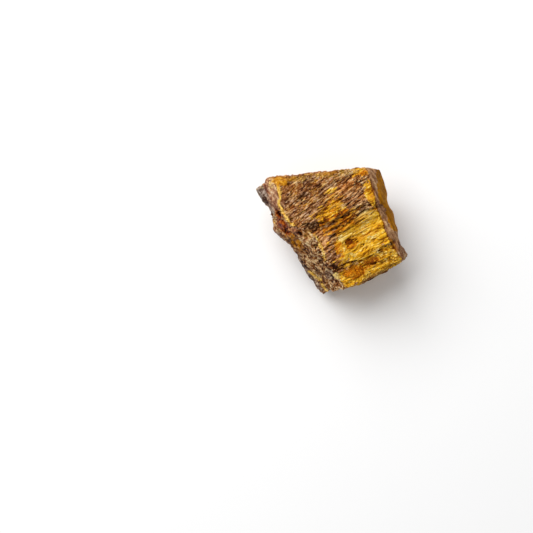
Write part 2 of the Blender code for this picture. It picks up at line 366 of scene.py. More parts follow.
def cutTop(lift, points, place, onTop):
    # adds to the lift what only the top has: pits, the crust's rim, the seam at the rind, cracks and ribs
    ragged = 0.45 * gradientNoise(points / 0.7, 9)
    for pit in pits:
        lift = lift - pit["depth"] * ovalShare(points, pit, ragged) * ramp(points[:, 2], *levels["pits"])
    wander = points.copy()
    wander[:, 1] += 0.3 * fibreNoise(place, 2.0, 0.8, 8)
    lift += relief["rimLift"] * lineShare(points, ridgeLines[:1], 0.65) * onTop
    lift -= relief["seamDepth"] * lineShare(wander, [rindLeft], relief["seamWidth"]) * onTop
    lift -= relief["crackDepth"] * lineShare(wander, topCracks, relief["crackWidth"]) * onTop
    lift += relief["ribLift"] * lineShare(wander, ribLines, relief["ribReach"]) * onTop
    return lift


def roughSkin(mesh):
    # the relief in the order in which a real stone gets it: broken bundles, the crusts, then the cracks
    edges = readEdges(mesh)
    points = evenSkin(mesh, edges)
    normals = calmNormals(mesh, 14)
    facing = normals @ fibreWay
    place = fibrePlace(points)
    straight = straightShare(points, place)
    place += relief["bend"] * np.stack([fibreNoise(place, 3.0, 1.2, seed) for seed in (11, 12, 13)], axis=1)
    topSide = ramp(points[:, 2], *levels["top"]) * ramp(normals[:, 2], 0.0, 0.35)
    leftWall = np.maximum(ramp(-facing, *facings["rough"]), leftOf(points, crustBorder) * topSide)
    rightWall = np.maximum(ramp(facing, *facings["rough"]), (1 - leftOf(points, rindLeft)) * topSide)
    smooth = smoothShare(points) * topSide
    bare = brokenShare(facing) * (1 - np.maximum(leftWall, rightWall))
    lift = bare * (1 - 0.7 * smooth) * fibreLift(place, straight)

    shell = ovalShare(points, shellPatch) * topSide
    rings = np.linalg.norm(points[:, :2] - np.array(shellMiddle), axis=1) / relief["shellStep"]
    rings = (rings + 0.5 * gradientNoise(points / 1.6, 25)) % 1.0
    lift = lift * (1 - 0.4 * shell) + relief["shellHeight"] * rings * shell

    calm = edgeCalm(points, edges, normals)
    lumps = gradientNoise(points / relief["crustLump"], 5)
    grains = gradientNoise(points / relief["crustGrain"], 6)
    layers = terraces(place, relief["layerStep"], 5.0, 15, 2.0)
    lift += leftWall * (1 - 0.8 * smooth) * calm * (
        relief["crustHeight"] * lumps + relief["grainHeight"] * grains + relief["layerHeight"] * layers)
    streaks = fibreNoise(place, relief["skinStreak"], 4.0, 10)
    lift += rightWall * (relief["skinHeight"] * gradientNoise(points / relief["skinLump"], 7)
                         + relief["streakHeight"] * streaks)
    lift = cutTop(lift, points, place, ramp(points[:, 2], *levels["cracks"]) * ramp(normals[:, 2], 0.2, 0.5))

    # the sharp outer edges keep their line, and the foot stays flat
    lift *= 0.25 + 0.75 * calm
    lift *= 1.0 - ramp(points[:, 2], *levels["foot"]) * ramp(-normals[:, 2], 0.6, 0.9)
    points = points + normals * lift[:, None]
    for pull in pulls:
        share = ovalShare(points, pull) * ramp(points[:, 2], *levels["pulled"])
        points[:, :2] += share[:, None] * np.array(pull["move"])
    points[:, 2] = np.maximum(points[:, 2], 0.0)
    writePoints(mesh, points)


# Loose bits on the stone: splinters and long threads along the fibres, grains on the crust. Of each the
# least and the most length, width and height.
bits = {
    "splinters": {"perSquareMm": 3.0, "least": (0.5, 0.13, 0.2), "most": (1.9, 0.32, 0.4),
                  "sunk": (0.02, 0.16), "pieces": 2, "proud": 0.16},
    "threads": {"perSquareMm": 1.0, "least": (1.5, 0.12, 0.18), "most": (6.0, 0.3, 0.34),
                "sunk": (0.05, 0.17), "pieces": 5, "proud": 0.08},
    "grains": {"perSquareMm": 1.6, "least": (0.25, 0.25, 0.25), "most": (0.6, 0.55, 0.5),
               "sunk": (0.05, 0.2), "pieces": 1, "proud": 0.1},
}


mostLean = (0.6, 0.03, 0.07)   # of a bit: its roll, its rise and its swing off the fibres, in radians


def bitTree(name):
    # scatters small closed bits over a surface and lays them along the fibres
    tree = bpy.data.node_groups.new(name, "GeometryNodeTree")
    sockets = {"Geometry": "Geometry", "Density": "Float", "Seed": "Int", "Pieces": "Int", "Least Size": "Vector",
               "Most Size": "Vector", "Least Sunk": "Float", "Most Sunk": "Float", "Where": "String",
               "Material": "Material"}
    for label, kind in sockets.items():
        tree.interface.new_socket(name=label, in_out="INPUT", socket_type="NodeSocket" + kind)
    tree.interface.new_socket(name="Geometry", in_out="OUTPUT", socket_type="NodeSocketGeometry")
    given = addNode(tree, "NodeGroupInput").outputs
    where = addNode(tree, "GeometryNodeInputNamedAttribute", {"Name": given["Where"]}, data_type="FLOAT")
    density = addNode(tree, "ShaderNodeMath", {0: where, 1: given["Density"]}, operation="MULTIPLY")
    scatter = addNode(tree, "GeometryNodeDistributePointsOnFaces",
                      {"Mesh": given["Geometry"], "Density": density, "Seed": given["Seed"]})
    normal = scatter.outputs["Normal"]
    upright = addNode(tree, "FunctionNodeAlignRotationToVector", {"Vector": normal}, axis="Z")
    laid = addNode(tree, "FunctionNodeAlignRotationToVector",
                   {"Rotation": upright, "Vector": tuple(fibreWay)}, axis="X", pivot_axis="Z")
    ranges = [(tuple(-most for most in mostLean), mostLean), (given["Least Size"], given["Most Size"]),
              ((0.0,) * 3, (1.0,) * 3)]
    lean, size, threeDice = [
        addNode(tree, "FunctionNodeRandomValue", {"Min": least, "Max": most, "Seed": seed},
                data_type="FLOAT_VECTOR") for seed, (least, most) in enumerate(ranges, 1)]
    lean = addNode(tree, "FunctionNodeEulerToRotation", {0: lean})
    turned = addNode(tree, "FunctionNodeRotateRotation", {0: laid, 1: lean}, rotation_space="LOCAL")

    # each bit lies a little deep, has its own shade, and gets a random relieved value that the material turns into
    # a painted highlight or painted shade
    dice = addNode(tree, "ShaderNodeSeparateXYZ", {0: threeDice}).outputs
    depth = addNode(tree, "ShaderNodeMapRange", {0: dice[0], 3: given["Least Sunk"], 4: given["Most Sunk"]})
    inwards = addNode(tree, "ShaderNodeMath", {0: depth, 1: -1.0}, operation="MULTIPLY")
    shift = addNode(tree, "ShaderNodeVectorMath", {0: normal, "Scale": inwards}, operation="SCALE")
    sunk = addNode(tree, "GeometryNodeSetPosition", {"Geometry": scatter, "Offset": shift})
    height = addNode(tree, "ShaderNodeMapRange", {0: dice[2], 3: -0.02, 4: 0.1})
    for label, value in (("shade", dice[1]), ("relieved", height)):
        sunk = addNode(tree, "GeometryNodeStoreNamedAttribute", {"Geometry": sunk, "Name": label, "Value": value},
                       data_type="FLOAT", domain="POINT")

    bar = addNode(tree, "GeometryNodeMeshCylinder",
                  {"Vertices": 5, "Side Segments": given["Pieces"], "Radius": 0.5, "Depth": 1.0})
    bit = addNode(tree, "GeometryNodeTransform", {"Geometry": bar, "Rotation": (0.0, math.pi / 2, 0.0)})
    placed = addNode(tree, "GeometryNodeInstanceOnPoints",
                     {"Points": sunk, "Instance": bit, "Rotation": turned, "Scale": size})
    real = addNode(tree, "GeometryNodeRealizeInstances", {"Geometry": placed})
    finished = addNode(tree, "GeometryNodeSetMaterial", {"Geometry": real, "Material": given["Material"]})
    addNode(tree, "NodeGroupOutput", {"Geometry": finished})
    return tree


def laidOnSkin(mesh, skin, tree, proud, corners, mostWall=0.3, farthest=0.7):
    # nothing stands more than proud above the skin; what reaches over a wall or past an edge goes
    points = readPoints(mesh)
    found = [tree.find_nearest(Vector(point * mm)) for point in points]
    places = np.array([item[0] for item in found]) / mm
    normals = np.array([item[1] for item in found])
    nearest = np.array([skin.polygons[item[2]].vertices[0] for item in found])
    walls = np.empty(len(skin.vertices), dtype=np.float32)
    skin.attributes["walls"].data.foreach_get("value", walls)
    away = points - places
    outside = np.einsum("ij,ij->i", away, normals) > 0
    distance = np.linalg.norm(away, axis=1)
    share = np.where(outside, np.minimum(1.0, proud / np.maximum(distance, 0.001)), 1.0)
    points = places + away * share[:, None]
    points[:, 2] = np.maximum(points[:, 2], 0.0)
    writePoints(mesh, points)
    stray = (walls[nearest] > mostWall) | (outside & (distance > farthest))
    dropPoints(mesh, np.flatnonzero(np.repeat(stray.reshape(-1, corners).any(axis=1), corners)))


def scatterBits(skin, tree, nearby, kind, seed, material):
    sizes = bits[kind]
    values = {"Density": sizes["perSquareMm"] / mm ** 2, "Seed": seed, "Pieces": sizes["pieces"],
              "Where": kind, "Material": material,
              "Least Sunk": sizes["sunk"][0] * mm, "Most Sunk": sizes["sunk"][1] * mm,
              "Least Size": [side * mm for side in sizes["least"]],
              "Most Size": [side * mm for side in sizes["most"]]}
    inputs = {item.identifier: values[item.name] for item in tree.interface.items_tree
              if item.in_out == "INPUT" and item.name in values}
    mesh = plainMesh(kind, skin, "NODES", {"node_group": tree, **inputs})
    laidOnSkin(mesh, skin, nearby, sizes["proud"], 5 * (sizes["pieces"] + 1))
    return mesh


def storeShare(mesh, name, values):
    if name not in mesh.attributes:
        mesh.attributes.new(name, "FLOAT", "POINT")
    mesh.attributes[name].data.foreach_set("value", values.astype(np.float32))


def mergedCopy(node):
    bm = bmesh.new()
    bm.from_mesh(node.data)
    bmesh.ops.remove_doubles(bm, verts=bm.verts, dist=0.001 * mm)
    mesh = bpy.data.meshes.new("merged")
    bm.to_mesh(mesh)
    bm.free()
    return mesh


def keepLargest(mesh):
    # of the closed shells that the remesh made, only the one with the most corners stays
    edges = readEdges(mesh)
    shell = np.arange(len(mesh.vertices))
    before = None
    while before is None or (shell != before).any():
        before = shell.copy()
        np.minimum.at(shell, edges[:, 0], before[edges[:, 1]])
        np.minimum.at(shell, edges[:, 1], before[edges[:, 0]])
        shell = shell[shell]
    dropPoints(mesh, np.flatnonzero(shell != np.bincount(shell).argmax()))


def surfaceTree(mesh):
    return BVHTree.FromPolygons([v.co for v in mesh.vertices], [p.vertices[:] for p in mesh.polygons])


def holdTo(mesh, tree, most):
    # corners that stand further than most from the surface in the tree go back to it
    points = readPoints(mesh)
    for index, point in enumerate(points):
        place, normal, face, distance = tree.find_nearest(Vector(point * mm))
        if distance > most * mm:
            points[index] = np.array(place) / mm
    points[:, 2] = np.maximum(points[:, 2], 0.0)
    writePoints(mesh, points)


def wallDepths(tree, points, normals, reach=6.0, under=0.8):
    # how far it is to the left and to the right wall, along the fibres, from just under the surface
    depths = np.full((len(points), 2), reach)
    starts = (points - normals * under) * mm
    for side, way in enumerate((Vector(-fibreWay), Vector(fibreWay))):
        for index, start in enumerate(starts):
            place, normal, face, distance = tree.ray_cast(Vector(start), way, reach * mm)
            if normal is not None and normal.dot(way) > 0.62:
                depths[index, side] = distance / mm
    return depths


# Where the looks lie on top, as patches seen from above. "below" keeps one below a crack, and a smooth
# one has less relief.
patches = {
    "gold": [
        oval(10.0, -1.6, 11.5, 7.6, 40, below=mainCrack), oval(-0.3, 9.0, 3.4, 1.6, 40, 0.4),
        oval(-0.4, 11.8, 1.6, 0.8, 25), oval(-4.6, 5.6, 3.2, 1.4, 36, 0.45),
        oval(-0.6, 5.8, 5.0, 2.6, 36, 0.8), oval(-6.0, 9.5, 11.0, 6.0, 33, 0.06),
        oval(11.0, 10.8, 4.4, 1.7, -70, smooth=True), oval(7.8, 17.4, 3.4, 1.3, 14, 0.7),
        oval(-3.0, 15.6, 9.0, 0.9, 9, 0.25), oval(16.6, -8.4, 5.2, 4.0, 33), oval(8.4, -12.4, 7.6, 3.2, 18),
        oval(3.2, -13.6, 3.0, 1.8, 20, 0.9)],
    "amber": [
        oval(0.2, 8.6, 3.8, 2.2, 50, 0.45), oval(10.9, 11.2, 4.2, 1.7, -70, 0.35),
        oval(9.3, 17.0, 0.9, 1.9, -75, 0.9), oval(3.1, 3.4, 5.8, 1.6, 36, 0.75),
        oval(0.6, 1.4, 4.4, 2.4, 33, 0.6), oval(5.6, -3.4, 2.6, 1.5, 18),
        oval(1.9, -5.2, 1.4, 2.6, 20, 0.7), oval(11.6, -0.6, 1.9, 0.9, 33, 0.75),
        oval(11.7, -9.2, 2.7, 1.5, 20), oval(6.8, -12.0, 3.6, 2.3, 15)],
    "sugar": [
        oval(17.0, -8.4, 4.6, 4.0, 33), oval(6.8, -12.0, 6.5, 3.0, 18, 0.8),
        oval(5.6, -6.6, 2.6, 1.9, -10, 0.5)],
    "rosy": [
        oval(4.6, 12.6, 4.4, 2.6, 36, 0.8), oval(8.6, 9.6, 2.6, 1.7, 36),
        oval(-3.2, -2.4, 4.6, 2.2, -62, 0.8), oval(5.2, -2.5, 1.5, 0.6, 20)],
    "speckle": [
        oval(7.4, 14.4, 3.4, 1.5, 8, 0.5), oval(-10.0, 14.9, 3.0, 0.8, 12, 0.4),
        oval(3.4, 16.8, 2.8, 1.0, 12, 0.7)],
    "dusty": [
        oval(-19.2, 10.8, 6.5, 3.2, -62, smooth=True), oval(-11.6, 0.2, 1.3, 0.8, -20, 0.7)],
    "slate": [
        oval(-21.5, 11.9, 3.6, 2.1, -55, 0.8), oval(-18.9, 10.0, 2.8, 0.9, -60, 0.3),
        oval(-7.0, 15.0, 3.0, 0.9, 15, 0.4), oval(-0.6, -13.0, 2.0, 1.2, -40, 0.5)],
    # The pale patches are partly painted highlights on the golden fibres and partly pale yellow bits
    "pale": [
        oval(13.2, 17.8, 1.7, 0.6, 8, 0.6), oval(9.6, 2.8, 2.6, 1.0, 42, 0.45),
        oval(6.0, -7.0, 1.3, 0.7, -25, 0.75), oval(8.6, 0.6, 1.8, 1.2, 40, 0.5),
        oval(1.3, -13.3, 1.3, 0.9, -40, 0.8), oval(-5.0, -13.2, 2.6, 0.9, -35, 0.4),
        oval(-9.6, 12.9, 1.6, 0.7, 50, 0.25), oval(-18.0, 14.2, 1.8, 1.1, 70, 0.55),
        oval(-21.0, 13.4, 0.8, 0.5, 45, 0.35), oval(-17.4, 3.4, 0.8, 2.2, -4, 0.4)],
    # The olive patch just below the main crack, at (8.6, 4.6), is painted shade under that step; the others are an
    # olive-gold tint
    "olive": [
        oval(17.4, -7.2, 4.0, 3.6, 40, 0.35), oval(8.6, 4.6, 3.6, 1.1, 35, 0.6),
        oval(-7.6, -0.8, 1.5, 1.6, -50, 0.35), oval(-10.5, 15.6, 3.4, 0.8, 8, 0.7),
        oval(2.0, 17.4, 4.2, 0.8, 9, 0.6), oval(12.6, -13.3, 4.6, 0.9, 25, 0.9, smooth=True)],
    # The dark patches are partly painted shadow under the overhangs and steps and partly real dark holes and lumps;
    # all of them take the gap colour
    "dark": [
        oval(-6.2, 1.3, 2.6, 1.0, -8, 0.6), oval(8.5, 7.2, 3.2, 1.9, 32, 0.7),
        oval(5.9, -3.4, 0.9, 0.4, 20, 0.6), oval(8.9, -4.2, 0.8, 0.45, 30, 0.8),
        oval(11.7, -9.3, 2.5, 1.1, 20, 0.5), oval(12.8, -13.7, 4.4, 0.7, 25, 0.8),
        oval(21.4, -6.9, 1.6, 0.9, -50, 0.6), oval(-12.9, -2.6, 1.4, 0.6, -44, 0.6),
        oval(-9.6, 10.0, 2.6, 1.2, 33, 0.5), oval(-3.2, 13.0, 2.4, 1.0, 33, 0.15),
        oval(-21.6, 11.0, 2.6, 0.7, -55, 0.55), oval(0.4, -10.4, 1.5, 0.8, -30, 0.8),
        oval(3.1, -10.8, 1.1, 0.5, 10, 0.7), oval(-3.9, -12.4, 1.3, 0.8, -45, 0.7),
        oval(-9.7, -0.8, 0.8, 0.5, -50), oval(-2.6, -9.6, 4.6, 1.3, -62, 0.4)],
    "honey": [
        oval(-15.6, 14.8, 2.5, 1.7, -15, smooth=True), oval(-12.8, 15.2, 2.2, 0.8, 12, 0.6),
        oval(-15.0, 2.0, 1.3, 0.9, -50, 0.7, smooth=True), oval(-11.2, -2.9, 3.9, 1.3, -44, smooth=True),
        oval(17.9, -3.7, 2.2, 0.55, -57, 0.75), oval(-1.2, 16.8, 2.4, 0.5, 8, 0.7)],
    "rust": [
        oval(-16.0, 5.0, 1.7, 0.9, -62, smooth=True), oval(-14.8, 1.7, 2.6, 1.4, -52, smooth=True),
        oval(-13.5, 0.1, 1.8, 1.1, -45, smooth=True), oval(-11.4, -0.2, 1.9, 0.9, -20, 0.5, smooth=True),
        oval(5.6, -3.2, 1.5, 0.6, 20, 0.7), oval(-19.6, 12.6, 2.2, 0.5, -62, 0.45),
        oval(-18.0, 9.2, 1.6, 0.4, -62, 0.4)],
}
looks = tuple(patches)

# Looks of the faces that aren't on top, as wide streaks: look, length, width, seed, none, all, share
wideStreaks = [("gold", 22.0, 6.0, 21, -0.25, 0.35, 0.8), ("amber", 16.0, 4.5, 22, 0.0, 0.5, 0.9),
               ("rosy", 12.0, 4.0, 23, 0.1, 0.5, 0.7)]

# Thin yellow ridges where the crust ends on top, and at its lower left
ridgeLines = [
    [(-16.3, 13.3), (-15.9, 12.0), (-15.6, 10.2), (-16.1, 8.2), (-15.3, 6.7), (-14.6, 5.2),
     (-13.6, 3.4), (-12.6, 2.2), (-11.6, 1.6)],
    [(-5.5, -1.2), (-4.3, -2.4), (-3.7, -4.2), (-3.1, -5.6), (-2.6, -7.4), (-2.2, -8.6)],
    [(-7.1, -11.8), (-5.0, -13.3), (-3.0, -14.7)],
    [(-2.7, -16.0), (-1.7, -17.2), (-0.8, -18.5)],
]

backBand = [(-14.0, 15.4), (-7.0, 16.0), (0.0, 16.8), (6.0, 18.0)]   # gritty edge at the back

# Edges of the left wall down the picture: two in shade, painted slate grey as painted shade, and one that is worn
# smooth and pale
shadedEdges = [[(-22.6, 12.4), (-21.2, 10.2), (-19.4, 7.6), (-18.2, 5.6)],
             [(-16.9, -1.0), (-14.0, -3.6), (-11.6, -6.6), (-9.6, -9.4), (-7.6, -12.4), (-5.2, -15.6),
              (-3.1, -18.6)]]
wornEdge = [(-18.2, 4.6), (-17.8, 2.2), (-17.2, 0.2), (-16.0, -1.2)]

# Borders of the crust and of the rind on top, down the picture
crustBorder = [(-17.6, 16.5)] + ridgeLines[0][:-1] + [(-10.6, 1.2), (-8.2, 0.4)] + ridgeLines[1] + [
    (0.2, -9.8), (1.6, -11.5), (1.8, -14.0), (2.4, -14.8), (3.7, -16.6), (3.9, -18.0)]
rindLeft = [(9.8, 18.9), (10.5, 16.6), (11.1, 14.3), (11.8, 12.0), (12.3, 10.2), (12.7, 7.9), (13.3, 6.3),
            (14.2, 4.3), (15.0, 2.5), (15.7, 0.2), (16.7, -2.4), (18.3, -4.8), (19.8, -7.1), (20.9, -8.6)]
rindRight = [(12.9, 18.0), (12.9, 16.6), (13.0, 14.3), (13.2, 10.5), (13.7, 8.2), (15.8, 6.7), (15.8, 5.2),
             (16.4, 3.4), (17.1, 1.4), (18.0, 0.0), (20.5, -0.9), (24.0, -1.2)]

# Looks along lines on top: look, lines, reach to each side and share. The dark lines along the cracks and the
# rind's left border, and the slate lines along the shaded edges, are painted shade.
lineLooks = [("amber", ribLines, 0.8, 1.0), ("gold", ribLines, 0.6, 0.55), ("dark", topCracks, 0.5, 0.7),
             ("slate", shadedEdges, 1.8, 1.0), ("dark", [rindLeft], 0.5, 0.6), ("olive", [backBand], 1.8, 0.5),
             ("sugar", [backBand], 1.8, 0.9), ("dusty", [wornEdge], 1.5, 1.0)]

# Depths under a wall, along the fibres, between which its layers end on the other faces
wallLayers = {"crust": (1.6, 1.3), "yellow": (2.1, 1.8), "rind": (2.1, 1.8)}


def leftOf(points, line):
    # 1 left of a line that runs down the picture, 0 right of it
    lineX, lineY = np.array(line[::-1]).T
    return ramp(np.interp(points[:, 1], lineY, lineX) - points[:, 0], -0.12, 0.12)


def lookShares(points, place, bent, wobble, onTop):
    # how much of each look: from patches and lines on top, and from wide streaks elsewhere
    shares = {look: onTop * np.max([ovalShare(points, patch, wobble) for patch in found], axis=0)
              for look, found in patches.items()}
    for look, length, width, seed, none, full, share in wideStreaks:
        shares[look] += (1 - onTop) * ramp(fibreNoise(place, length, width, seed), none, full) * share
    for look, lines, width, share in lineLooks:
        shares[look] = np.maximum(shares[look], share * lineShare(bent, lines, width) * onTop)
    broken = 0.85 + 0.45 * gradientNoise(points / 1.1, 36)
    shares["ridge"] = np.maximum(lineShare(bent, ridgeLines[:1], 0.95), lineShare(bent, ridgeLines[1:], 0.75))
    shares["ridge"] *= broken * onTop
    return shares


def paintMasks(mesh, tree):
    # where each look goes, as one number for each corner of the mesh
    points, edges = readPoints(mesh), readEdges(mesh)
    calm = calmNormals(mesh, 30)
    facing = calm @ fibreWay
    depths = wallDepths(tree, points, calm)
    depths *= 1.0 - ramp(np.stack([-facing, facing], axis=1), *facings["painted"])
    depths = evened(depths, edges, 4)
    # how far each corner stands proud of its neighbours; the material turns it into painted shade in hollows and
    # painted highlights on proud places
    relieved = np.clip(np.einsum("ij,ij->i", points - evened(points, edges, 14), calm), -0.3, 0.1)
    place = fibrePlace(points)
    onTop = ramp(points[:, 2], *levels["top"]) * ramp(calm[:, 2], -0.15, 0.2)
    below = 1 - onTop
    straight = straightShare(points, place)
    wobble = 0.35 * fibreNoise(place, 2.5, 0.9, 31) + 0.15 * gradientNoise(points / 0.6, 32)
    bent = points + 0.3 * np.stack([gradientNoise(points / 0.9, seed) for seed in (33, 34, 35)], axis=1)

    # on top the borders are the lines above, elsewhere they follow the walls
    crust = leftOf(bent, crustBorder) * onTop + ramp(depths[:, 0], *wallLayers["crust"]) * below
    yellow = ramp(depths[:, 0], *wallLayers["yellow"]) * below
    rind = (1 - leftOf(bent, rindLeft)) * onTop + ramp(depths[:, 1], *wallLayers["rind"]) * below
    ochre = (1 - leftOf(bent, rindRight)) * onTop + ramp(facing, *facings["painted"]) * below
    walls = np.maximum(rind, ochre)
    clear = ramp(points[:, 2], *levels["clear"]) * edgeCalm(points, edges, calm)
    clear = clear * (1 - 0.9 * smoothShare(points, wobble) * onTop)
    bare = brokenShare(facing) * (1 - np.maximum(walls, crust)) * clear

    shares = lookShares(points, place, bent, wobble, onTop)
    shares.update(crust=crust, yellow=yellow, rind=rind, ochre=ochre, straight=straight, walls=walls,
                  relieved=relieved, shade=np.full(len(points), 0.5), splinters=bare * (1 - 0.75 * straight),
                  threads=bare * straight, grains=crust * ramp(-facing, 0.2, 0.5) * clear)
    for name, values in shares.items():
        storeShare(mesh, name, values)


# Rough tiger eye, which is quartz that took the place of fibres. It shows long fine streaks of brown
# and gold with dark gaps, a dull gritty crust in thin layers, and a smoother ochre skin. Real fibres are
# a few hundredths of a millimetre thick. Here the finest are 0.2 mm, so that they show.
tigerEye = {
    # each look's tone, and where on it its colours are, from the darkest to the lightest place
    "colours": {
        "brown": ("fibres", (0.24, 0.38, 0.53, 0.68, 0.86), "#341203 #693912 #905A2C #B28258 #D4B08C"),
        "mauve": ("fibres", (0.24, 0.38, 0.53, 0.68, 0.86), "#2C1610 #5E3C30 #8C6450 #B08C76 #D8C2B0"),
        "russet": ("fibres", (0.22, 0.38, 0.54, 0.7, 0.86), "#451202 #7E3A08 #AA6016 #C88830 #E2B870"),
        "gold": ("fibres", (0.14, 0.3, 0.45, 0.6, 0.77, 0.94), "#743A02 #B66E04 #D6960F #E8B022 #F3C648 #FDE69C"),
        "amber": ("fibres", (0.2, 0.38, 0.52, 0.7, 0.86), "#521E01 #9C4E02 #BE6A04 #DA8C0E #EEB63C"),
        "rosy": ("fibres", (0.22, 0.4, 0.56, 0.78), "#5A280A #9C561C #BE7A38 #E6B682"),
        "olive": ("fibres", (0.22, 0.36, 0.5, 0.66, 0.84), "#4A2C06 #7C5414 #A07226 #C0943E #E2BC66"),
        "speckle": ("grit", (0.3, 0.45, 0.6, 0.78), "#4A2A14 #8A6238 #BC925C #E4C698"),
        "crust": ("grit", (0.24, 0.38, 0.52, 0.66, 0.84), "#260F04 #603010 #8C5224 #AE763E #E6C896"),
        "slate": ("grit", (0.24, 0.42, 0.58, 0.8), "#1C1413 #4C3E3A #74625A #B2A296"),
        "dusty": ("dust", (0.24, 0.38, 0.5, 0.62, 0.8), "#4C2A1E #86543C #A67656 #BC906A #E2C8A6"),
        "honey": ("glass", (0.26, 0.4, 0.52, 0.68, 0.84), "#3E1E02 #844C02 #AC6C05 #C48610 #E6BE62"),
        "rust": ("glass", (0.2, 0.38, 0.52, 0.66, 0.84), "#1E0301 #561402 #8C3A05 #BE6A10 #E6B068"),
        "rind": ("wall", (0.28, 0.42, 0.55, 0.72), "#42281A #7E563A #A67C56 #D0AC82"),
        "ochre": ("wall", (0.3, 0.44, 0.56, 0.75), "#744603 #965E04 #A86C06 #BE8418"),
        "ridge": ("rim", (0.3, 0.44, 0.6, 0.8), "#A06410 #DA9C2A #F2C658 #FCE5A2"),
    },
    # pale colours the painted highlights and pale bits; gap and goldGap colour the painted shade in gaps and
    # hollows, and the dark holes and lumps
    "pale": "#FBDC80", "gap": "#2A0E02", "goldGap": "#703202",
    # the looks that lie over the brown one, from the lowest to the one on top
    "order": "mauve russet rosy gold amber speckle yellow crust dusty slate pale olive rind ochre ridge honey rust",
    # patterns: length along the fibres, width, detail and roughness; then size and detail, the same all ways
    "streaks": {
        "bundle": (4.5, 1.5, 3.0, 0.65), "fibre": (2.0, 0.42, 3.0, 0.65), "hair": (1.0, 0.2, 2.0, 0.65),
        "ledge": (7.0, 3.0, 2.0, 0.65), "rib": (6.0, 1.2, 3.0, 0.65), "thread": (4.0, 0.42, 3.0, 0.65),
        "line": (3.0, 0.2, 2.0, 0.65), "layer": (0.6, 4.0, 2.0, 0.5)},
    "lumps": {"broad": (4.0, 3.0), "lump": (1.2, 3.0), "grain": (0.42, 4.0), "speck": (0.26, 2.0)},
    "sliver": (1.7, 0.46), "grit": 0.42, "wander": 0.7,
    # tones: the middle one, and how much each pattern adds; relieved adds a painted highlight where the surface
    # stands proud and painted shade in its hollows
    "tones": {
        "short": (0.53, {"sliver": 0.3, "broad": 1.1, "lump": 0.6, "bundle": 0.7, "fibre": 0.9, "hair": 0.6,
                         "grain": 0.7}),
        "long": (0.61, {"ledge": 1.1, "rib": 0.7, "thread": 1.2, "line": 0.6, "grain": 0.6, "broad": 0.4}),
        "sugar": (0.54, {"grit": 0.4, "grain": 1.0, "speck": 0.9, "lump": 0.7, "bundle": 0.8, "shade": 0.3}),
        "grit": (0.51, {"grit": 0.4, "grain": 0.9, "speck": 0.7, "lump": 1.6, "broad": 1.1, "layer": 0.4,
                        "shade": 0.4, "relieved": 1.0}),
        "dust": (0.5, {"layer": 0.8, "lump": 0.8, "grain": 1.1, "broad": 0.5}),
        "glass": (0.5, {"lump": 1.2, "broad": 0.6, "grain": 0.3, "relieved": 0.9}),
        "wall": (0.5, {"broad": 0.6, "layer": 0.7, "grain": 0.6}),
        "rim": (0.55, {"grain": 1.0, "speck": 0.9, "lump": 0.6}),
    },
    # looks that come and go with one pattern: where they start, where they are full, and their most
    "spread": {"mauve": ("lump2", 0.46, 0.6, 0.42), "russet": ("bundle", 0.44, 0.64, 0.7),
               "greyCrust": ("lump3", 0.52, 0.64, 0.45)},
    # ragged borders, where each sliver is of one kind, so that looks meet in streaks and not in a blend
    "borders": [
        ("gold rosy", 0.3, 0.74, {"sliver2": 0.7, "fibre": 0.8}),
        ("amber olive", 0.3, 0.74, {"sliver3": 0.7, "fibre": 0.8}),
        ("pale", 0.55, 0.85, {"sliver3": 0.5, "hair": 2.2}), ("speckle", 0.45, 0.6, {"grit2": 0.9}),
        ("crust", 0.4, 0.6, {"grain": 0.8}), ("yellow", 0.4, 0.6, {"grain": 1.2}),
        ("rind ochre ridge", 0.4, 0.6, {"grain": 0.5}), ("dark", 0.15, 0.85, {"fibres": -1.1}),
    ],
}


def fibreSpace(tree):
    # Object coordinates turned into along, across and up, in millimetres, and a little wavy
    position = addNode(tree, "ShaderNodeTexCoord").outputs["Object"]
    sized = addNode(tree, "ShaderNodeVectorMath", {0: position, 1: (1 / mm,) * 3}, operation="MULTIPLY")
    spread = fibres["spreadRadius"]
    moved = addNode(tree, "ShaderNodeVectorMath",
                    {0: sized, 1: (spread * math.cos(fibreTurn), spread * math.sin(fibreTurn), 0.0)})
    parts = addNode(tree, "ShaderNodeSeparateXYZ", {0: moved}).outputs
    level = addNode(tree, "ShaderNodeCombineXYZ", {0: parts[0], 1: parts[1]})
    along = addNode(tree, "ShaderNodeVectorMath", {0: level}, operation="LENGTH").outputs["Value"]
    turn = addNode(tree, "ShaderNodeMath", {0: parts[1], 1: parts[0]}, operation="ARCTAN2")
    across = addNode(tree, "ShaderNodeMath", {0: turn, 1: spread}, operation="MULTIPLY")
    place = addNode(tree, "ShaderNodeCombineXYZ", {0: along, 1: across, 2: parts[2]})
    calmed = addNode(tree, "ShaderNodeMapping", {"Vector": place, "Scale": (1 / 5, 1 / 3, 1 / 3)})
    wave = addNode(tree, "ShaderNodeTexNoise", {"Vector": calmed, "Scale": 1.0, "Detail": 2.0})
    shift = addNode(tree, "ShaderNodeVectorMath", {0: wave.outputs["Color"], 1: (0.5,) * 3}, operation="SUBTRACT")
    most = (tigerEye["wander"],) * 3
    amount = addNode(tree, "ShaderNodeVectorMath", {0: shift, 1: most}, operation="MULTIPLY")
    wavy = addNode(tree, "ShaderNodeVectorMath", {0: place, 1: amount})
    return sized.outputs[0], wavy.outputs[0]


